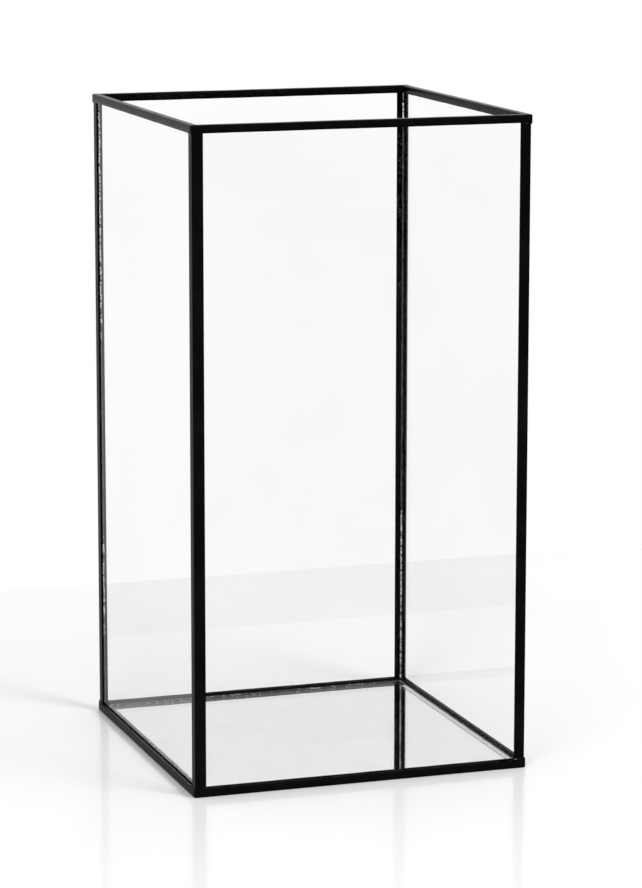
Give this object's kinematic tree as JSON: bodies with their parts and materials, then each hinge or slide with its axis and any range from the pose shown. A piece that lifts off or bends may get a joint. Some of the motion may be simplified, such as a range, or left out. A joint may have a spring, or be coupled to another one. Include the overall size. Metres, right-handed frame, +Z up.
{
  "type": "glass display box",
  "caption": "Tall open-topped glass display box with a nearly square plan, folded black steel edging, sealant beads and a mirror floor.",
  "frame": {"origin": "on the ground under the middle of the box", "axes": "+Z up, +X to the right and +Y to the back as the box is seen from its front"},
  "size_m": [0.25, 0.256, 0.472],
  "materials": {
    "black_steel": "satin black paint on folded steel strip",
    "solder": "solder fillet under the same black paint",
    "glass_pane": "clear float glass, polished faces and dull bevelled edges",
    "mirror_glass": "silvered float glass",
    "clear_sealant": "translucent silicone with small bubbles",
    "glazing_sealant": "black silicone",
    "foam": "thin white foam"
  },
  "bodies": {
    "root": {"base_plate": "black_steel", "corner_bead_back_left": "clear_sealant", "corner_bead_back_right": "clear_sealant", "corner_bead_front_left": "clear_sealant", "corner_bead_front_right": "clear_sealant", "foot_back": "black_steel", "foot_front": "black_steel", "foot_glazing_back": "glazing_sealant", "foot_glazing_front": "glazing_sealant", "foot_glazing_left": "glazing_sealant", "foot_glazing_right": "glazing_sealant", "foot_left": "black_steel", "foot_right": "black_steel", "foot_solder_back_left": "solder", "foot_solder_back_right": "solder", "foot_solder_front_left": "solder", "foot_solder_front_right": "solder", "mirror": "mirror_glass", "mirror_pad": "foam", "mirror_seal_back": "clear_sealant", "mirror_seal_front": "clear_sealant", "mirror_seal_left": "clear_sealant", "mirror_seal_right": "clear_sealant", "pane_back": "glass_pane", "pane_front": "glass_pane", "pane_left": "glass_pane", "pane_right": "glass_pane", "post_back_left": "black_steel", "post_back_right": "black_steel", "post_front_left": "black_steel", "post_front_right": "black_steel", "rim_back": "black_steel", "rim_front": "black_steel", "rim_glazing_back": "glazing_sealant", "rim_glazing_front": "glazing_sealant", "rim_glazing_left": "glazing_sealant", "rim_glazing_right": "glazing_sealant", "rim_left": "black_steel", "rim_right": "black_steel", "rim_solder_back_left": "solder", "rim_solder_back_right": "solder", "rim_solder_front_left": "solder", "rim_solder_front_right": "solder"}
  },
  "joints": []
}
